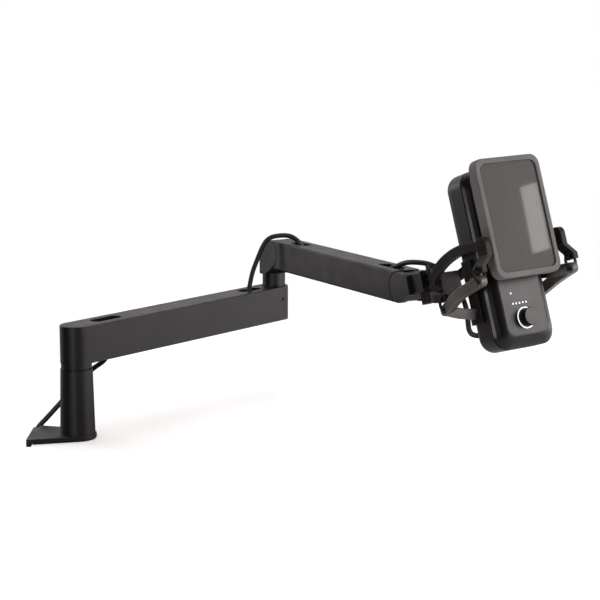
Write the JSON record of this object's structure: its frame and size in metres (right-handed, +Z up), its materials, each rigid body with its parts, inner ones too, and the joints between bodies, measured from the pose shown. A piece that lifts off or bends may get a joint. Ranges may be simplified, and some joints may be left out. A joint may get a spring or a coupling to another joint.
{
  "type": "microphone boom arm",
  "caption": "Low-profile desk-clamp boom arm with turning elbow and tilting wrist, carrying a boxy studio microphone in an elastic shock mount with a pop filter and its lead.",
  "frame": {"origin": "on the column's axis, in the plane of the desk top under the clamp's pad", "axes": "+Z up along the column, +X from the desk's rear edge towards the middle of the desk"},
  "size_m": [0.5138, 0.4068, 0.4659],
  "materials": {
    "black_aluminium": "matt black powder coat",
    "black_steel": "matt black powder coat",
    "bright_steel": "plain machined steel",
    "dark_steel": "black oxide",
    "black_plastic": "fine moulded grain",
    "grey_plastic": "soft touch moulding",
    "mesh": "woven black mesh",
    "rubber": "matt rubber",
    "cord": "smooth cord jacket",
    "bearing": "turned bearing bronze",
    "board": "solder resist",
    "light": "white light guide"
  },
  "bodies": {
    "base": {"clamp_frame": "black_steel", "desk_pad": "rubber", "base_bolt": "dark_steel", "column": "black_aluminium", "column_spindle": "bright_steel", "base_washer": "dark_steel", "base_nut": "bright_steel", "cable_drop": "cord", "cable_coil": "cord", "cable_tie": "rubber", "far_plug": "black_plastic"},
    "clamp_foot": {"clamp_pad": "black_steel", "clamp_pad_rubber": "rubber"},
    "clamp_drive": {"clamp_screw": "bright_steel", "clamp_knob": "black_plastic"},
    "lower_arm": {"lower_arm": "black_aluminium", "lower_arm_hub": "black_aluminium", "elbow_hub": "black_aluminium", "arm_bushes": "bearing", "elbow_tension_screw": "dark_steel", "lower_arm_cover": "black_plastic", "cover_screws": "dark_steel", "cable_lower": "cord"},
    "elbow": {"elbow_knuckle": "black_aluminium", "elbow_washer": "dark_steel", "elbow_retaining_screw": "bright_steel"},
    "upper_arm": {"upper_arm": "black_aluminium", "upper_arm_cover": "black_plastic", "rear_block": "black_aluminium", "front_block": "black_aluminium", "pivot_pins": "dark_steel", "friction_washers": "grey_plastic", "cable_upper": "cord", "cable_wrist": "cord"},
    "wrist": {"wrist_knuckle": "black_aluminium", "swivel_screw": "bright_steel"},
    "swivel": {"swivel_block": "black_aluminium", "pan_pin": "dark_steel", "cable_swivel": "cord"},
    "swivel_lock": {"swivel_knob": "black_plastic"},
    "microphone": {"yoke": "black_plastic", "cradle": "black_plastic", "elastic_bands": "rubber", "rear_housing": "black_plastic", "front_housing": "grey_plastic", "front_grille": "mesh", "capsule": "bearing", "capsule_holder": "black_plastic", "circuit_board": "board", "board_screws": "bright_steel", "usb_socket": "bright_steel", "encoder_body": "black_plastic", "dial_light_ring": "light", "level_lights": "light", "pop_filter_frame": "grey_plastic", "pop_filter_mesh": "mesh", "usb_plug": "black_plastic", "cable_tail": "cord"},
    "dial_stem": {"encoder_shaft": "bright_steel"},
    "dial": {"gain_dial": "grey_plastic"}
  },
  "joints": [
    {"name": "clamp_slide", "type": "slide", "parent": "base", "child": "clamp_foot", "axis": [0, 0, 1], "range_m": [-0.026, 0.024]},
    {"name": "clamp_turn", "type": "hinge", "parent": "clamp_foot", "child": "clamp_drive", "pos_m": [-0.012, 0, -0.04], "axis": [0, 0, 1], "range_deg": [-3125, 2885]},
    {"name": "base_yaw", "type": "hinge", "parent": "base", "child": "lower_arm", "pos_m": [0, 0, 0.08], "axis": [0, 0, 1], "range_deg": [-135, 135], "deforming": ["cable_drop"]},
    {"name": "elbow_yaw", "type": "hinge", "parent": "lower_arm", "child": "elbow", "pos_m": [0.17843, 0.22351, 0.095], "axis": [0, 0, 1], "range_deg": [-45, 140], "deforming": ["cable_lower"]},
    {"name": "elbow_pitch", "type": "hinge", "parent": "elbow", "child": "upper_arm", "pos_m": [0.18621, 0.20999, 0.1419], "axis": [-0.8669, -0.4985, 0], "range_deg": [-3, 55], "deforming": ["cable_upper"]},
    {"name": "wrist_tilt", "type": "hinge", "parent": "upper_arm", "child": "wrist", "pos_m": [0.30654, 0.00072, 0.1419], "axis": [-0.8669, -0.4985, 0], "range_deg": [-75, 40], "deforming": ["cable_wrist"]},
    {"name": "mount_roll", "type": "hinge", "parent": "wrist", "child": "swivel", "pos_m": [0.31789, -0.01902, 0.14948], "axis": [0.473, -0.8226, 0.3156], "range_deg": [-90, 90], "deforming": ["cable_swivel"]},
    {"name": "knob_turn", "type": "hinge", "parent": "swivel", "child": "swivel_lock", "pos_m": [0.32144, -0.02371, 0.13668], "axis": [0.2025, -0.2472, -0.9476], "range_deg": [-270, 0]},
    {"name": "mount_pan", "type": "hinge", "parent": "swivel", "child": "microphone", "pos_m": [0.32593, -0.033, 0.15484], "axis": [-0.2025, 0.2472, 0.9476], "range_deg": [-40, 40], "deforming": ["cable_tail"]},
    {"name": "dial_press", "type": "slide", "parent": "microphone", "child": "dial_stem", "axis": [-0.5388, 0.7799, -0.3186], "range_m": [0, 0.0008], "stiffness_N_per_m": 1500},
    {"name": "dial_spin", "type": "hinge", "parent": "dial_stem", "child": "dial", "pos_m": [0.39796, -0.13472, 0.13872], "axis": [0.5388, -0.7799, 0.3186], "continuous": true}
  ],
  "couplings": [
    {"joint": "clamp_turn", "follows": "clamp_slide", "rad_per_m": 2094.4}
  ]
}
